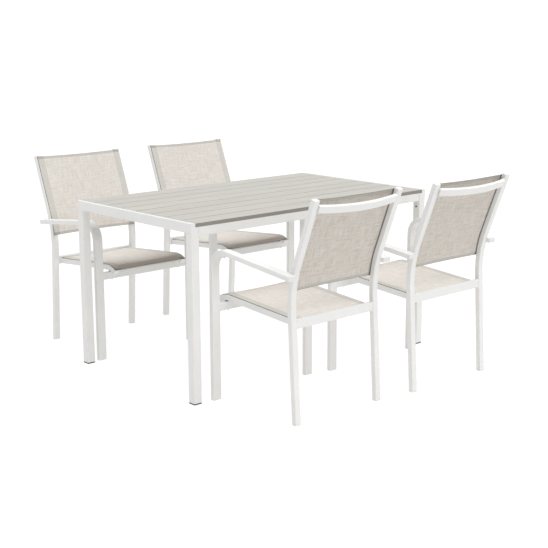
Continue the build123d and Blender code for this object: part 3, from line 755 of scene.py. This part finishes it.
def stitch_spots(profile, half, inner, hollow):
    """The rows of a sling: one along each free edge and one along each side hem.

    Each spot is a stitch's middle, its direction, the cloth's normal and the stitch's height.
    """
    spots = []
    thick = SHEET + HEM_FOLD

    def spot(a, v, along_cloth):
        where = np.array([v + drawn_in(a, inner)])
        place, tangent, normal = (rows[0] for rows in profile.at(where))
        sink = sink_across(a, inner, hollow) * sink_along(v, profile.length)
        level = face_level(on_tube(a, inner)) - thick / 2 - sink
        middle = place + np.array((a, 0.0, 0.0)) + normal * level
        along = tangent if along_cloth else np.array((1.0, 0.0, 0.0))
        spots.append((middle, along, normal, thick + 2 * STITCH_PROUD))

    reach = half - TUCK_INSET - TUCK_RADIUS - STITCH_LENGTH
    last = profile.length - 2 * EDGE_PULL
    for v, at_far_edge in ((STITCH_FROM_FOLD, False), (last - STITCH_FROM_FOLD, True)):
        for a in np.arange(-reach, reach, STITCH_PITCH):
            lift = 2 * (EDGE_PULL - drawn_in(a, inner)) if at_far_edge else 0.0
            spot(a, v + lift, False)
    for a in (-half + STITCH_FROM_SLOT, half - STITCH_FROM_SLOT):
        for v in np.arange(STITCH_PITCH, last - STITCH_PITCH, STITCH_PITCH):
            spot(a, v, True)
    return spots


def make_sling(chair, part, profile, tubes, look):
    """One sling of one chair, standing in for its CAD solid, with its stitching."""
    node = f"{chair}_{part}"
    low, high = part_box(node)
    half = (high.x - low.x) / 2
    number = int(chair[-1])
    half_way = Profile.FINE // 2
    inner = tube_inner(tubes, profile.points[half_way] - profile.normals[half_way] * BELOW_FACE)
    shift = [number * step for step in CLOTH_SHIFT]
    cloth, width = sling_mesh(f"{node}_cloth", profile, half, inner, look, shift)
    sewn = stitches(f"{node}_stitching", stitch_spots(profile, half, inner, look[0]))
    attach(cloth, chair)
    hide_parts(node)
    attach(sewn, chair)


# ---------------------------------------------------------------- welds
def convex_outline(points):
    """The corners of the smallest convex outline round flat points, in order."""
    points = sorted(set(points))

    def half(row):
        kept = []
        for p in row:
            while len(kept) > 1 and ((kept[-1][0] - kept[-2][0]) * (p[1] - kept[-2][1])
                                     - (kept[-1][1] - kept[-2][1]) * (p[0] - kept[-2][0])) <= 0:
                kept.pop()
            kept.append(p)
        return kept[:-1]

    return half(points) + half(points[::-1])


def end_outline(node, axis, place, low_x, high_x):
    """The outline of a tube's flat end between two X, on the plane at place across one axis."""
    across = [k for k in range(3) if k != axis]
    ends = [tuple(round(v.co[k], 6) for k in across) for v in frame["nodes"][node].data.vertices
            if abs(v.co[axis] - place) < FLAT and low_x < v.co.x < high_x]
    corners = convex_outline(ends)
    points = np.full((len(corners), 3), place)
    points[:, across] = corners
    return points


def arm_lap_outline(chair, side):
    """Where an armrest's inner side lies against the post's outer side."""
    low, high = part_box(f"{chair}_front_bar")
    contact = high.x if side > 0 else low.x
    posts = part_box(f"{chair}_rear_posts")
    behind = (posts[0].y + posts[1].y) / 2
    forward = facing(chair)
    arm, post = tree_of(f"{chair}_arm_legs"), tree_of(f"{chair}_rear_posts")
    corners = []
    for up, ahead in ((1, 1), (1, -1), (-1, -1), (-1, 1)):
        y, z = behind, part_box(f"{chair}_arm_legs")[1].z - ARM_MIDDLE
        for _ in range(LAP_ROUNDS):
            start = Vector((contact - side * POST_MIDDLE, behind + forward * ahead * 2 * CLEAR, z))
            y = post.ray_cast(start, Vector((0.0, -forward * ahead, 0.0)))[0].y
            start = Vector((contact + side * ARM_MIDDLE, y, z + up * CLEAR))
            z = arm.ray_cast(start, Vector((0.0, 0.0, -up)))[0].z
        corners.append((contact, y, z))
    return np.array(corners)


def bead(outline, axis):
    """A rippled weld bead along a closed flat outline, as (points, faces)."""
    closed = np.vstack([outline, outline[:1]])
    length = resampled(closed, 2)[1]
    count = int(length / WELD_STEP)
    line = resampled(closed, count + 1)[0][:-1]
    tangent = np.roll(line, -1, axis=0) - np.roll(line, 1, axis=0)
    tangent /= np.linalg.norm(tangent, axis=1)[:, None]
    out = np.eye(3)[axis]
    side = np.cross(tangent, out)
    run = 2 * pi * np.arange(count) / count
    ripples = round(length / WELD_RIPPLE)
    radius = WELD_RADIUS * (1 + RIPPLE_SHARE * np.sin(ripples * run)
                            + SWELL_SHARE * (np.sin(3 * run + 1) + np.sin(7 * run + 2)) / 2)
    angles = np.linspace(0, 2 * pi, BEAD_SIDES + 1)[:-1]
    rings = [line + radius[:, None] * (side * cos(t) + out * sin(t)) for t in angles]
    points = np.stack(rings, axis=1).reshape(-1, 3)
    sides = len(angles)
    faces = []
    for i in range(count):
        here, there = i * sides, (i + 1) % count * sides
        for k in range(sides):
            k2 = (k + 1) % sides
            faces.append((here + k, here + k2, there + k2, there + k))
    return points, faces


def welds(body, outlines):
    """All the beads of one body in one piece, painted with its frame."""
    points, faces = [], []
    for outline, axis in outlines:
        start = len(points)
        new_points, new_faces = bead(outline, axis)
        points += list(new_points)
        faces += [tuple(start + i for i in f) for f in new_faces]
    made = mesh_object(f"{body}_welds", points, faces, PAINT)
    outward_normals(made.data)
    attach(made, body)


def bar_ends(node):
    """The outlines of both ends of a bar along X, each with the axis across it."""
    low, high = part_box(node)
    return [(end_outline(node, 0, x, low.x - CLEAR, high.x + CLEAR), 0) for x in (low.x, high.x)]


def rail_ends(node, place):
    """The same for a pair of rails along Y, at one of their ends."""
    low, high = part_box(node)
    middle = (low.x + high.x) / 2
    spans = ((low.x - CLEAR, middle), (middle, high.x + CLEAR))
    return [(end_outline(node, 1, place, *span), 1) for span in spans]


def weld_chair(chair):
    """Where the bars and rails meet the posts and legs, and where the armrests lie on the posts."""
    outlines = []
    for bar in ("front_bar", "rear_bar", "top_rail"):
        outlines += bar_ends(f"{chair}_{bar}")
    low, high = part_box(f"{chair}_seat_rails")
    outlines += rail_ends(f"{chair}_seat_rails", high.y if facing(chair) < 0 else low.y)
    outlines += [(arm_lap_outline(chair, side), 0) for side in (-1, 1)]
    welds(chair, outlines)


def weld_table():
    """Where the side rails meet the legs, and the bearers the side rails."""
    outlines = bar_ends("table_side_rail_front") + bar_ends("table_side_rail_back")
    low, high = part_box("table_slat_bearers")
    outlines += rail_ends("table_slat_bearers", low.y) + rail_ends("table_slat_bearers", high.y)
    welds("table", outlines)


# ---------------------------------------------------------------- stage
def make_floor():
    size = FLOOR_HALF
    corners = [(-size, -size, 0), (size, -size, 0), (size, size, 0), (-size, size, 0)]
    mesh_object("floor", corners, [(0, 1, 2, 3)], pale_floor(), smooth=False)


def make_camera():
    """The photograph's camera."""
    azimuth, elevation, roll = (radians(a) for a in (CAMERA_AZIMUTH, CAMERA_ELEVATION, CAMERA_ROLL))
    back = Vector((sin(azimuth) * cos(elevation), -cos(azimuth) * cos(elevation), sin(elevation)))
    right = Vector((cos(azimuth), sin(azimuth), 0.0))
    up = back.cross(right)
    rolled_right = right * cos(roll) + up * sin(roll)
    rolled_up = up * cos(roll) - right * sin(roll)
    data = bpy.data.cameras.new("camera")
    data.sensor_width = SENSOR_MM
    data.lens = LENS_MM
    camera = bpy.data.objects.new("camera", data)
    bpy.context.scene.collection.objects.link(camera)
    turn = Matrix((rolled_right, rolled_up, back)).transposed()
    camera.matrix_world = Matrix.Translation(CAMERA_PLACE) @ turn.to_4x4()
    bpy.context.scene.camera = camera


def make_light():
    """A bright horizon under a softer sky, and one large soft sun."""
    world = bpy.data.worlds.new("studio")
    world.use_nodes = True
    tree = world.node_tree
    background = tree.nodes["Background"]
    direction = tree.nodes.new("ShaderNodeTexCoord")
    parts = tree.nodes.new("ShaderNodeSeparateXYZ")
    fade = tree.nodes.new("ShaderNodeMapRange")
    for entry, socket in zip((SKY_EDGE, SKY_BAND, SKY_LOW, SKY_HIGH), fade.inputs[1:5]):
        socket.default_value = entry
    tree.links.new(direction.outputs["Generated"], parts.inputs[0])
    tree.links.new(parts.outputs["Z"], fade.inputs["Value"])
    tree.links.new(fade.outputs[0], background.inputs["Strength"])
    background.inputs["Color"].default_value = (1.0, 1.0, 1.0, 1.0)
    bpy.context.scene.world = world
    data = bpy.data.lights.new("sun", "SUN")
    data.energy = SUN_STRENGTH
    data.angle = radians(SUN_SOFTNESS)
    sun = bpy.data.objects.new("sun", data)
    bpy.context.scene.collection.objects.link(sun)
    sun.rotation_mode = "QUATERNION"
    sun.rotation_quaternion = Vector(SUN_FROM).to_track_quat("Z", "Y")
    bpy.context.scene.view_settings.view_transform = "Standard"


# ---------------------------------------------------------------- the set
dress_cad_nodes()
for chair in CHAIRS:
    make_sling(chair, "back_sling", back_profile(chair), f"{chair}_rear_posts", BACK_LOOK)
    make_sling(chair, "seat_sling", seat_profile(chair), f"{chair}_seat_rails", SEAT_LOOK)
    weld_chair(chair)
weld_table()
make_floor()
make_camera()
make_light()
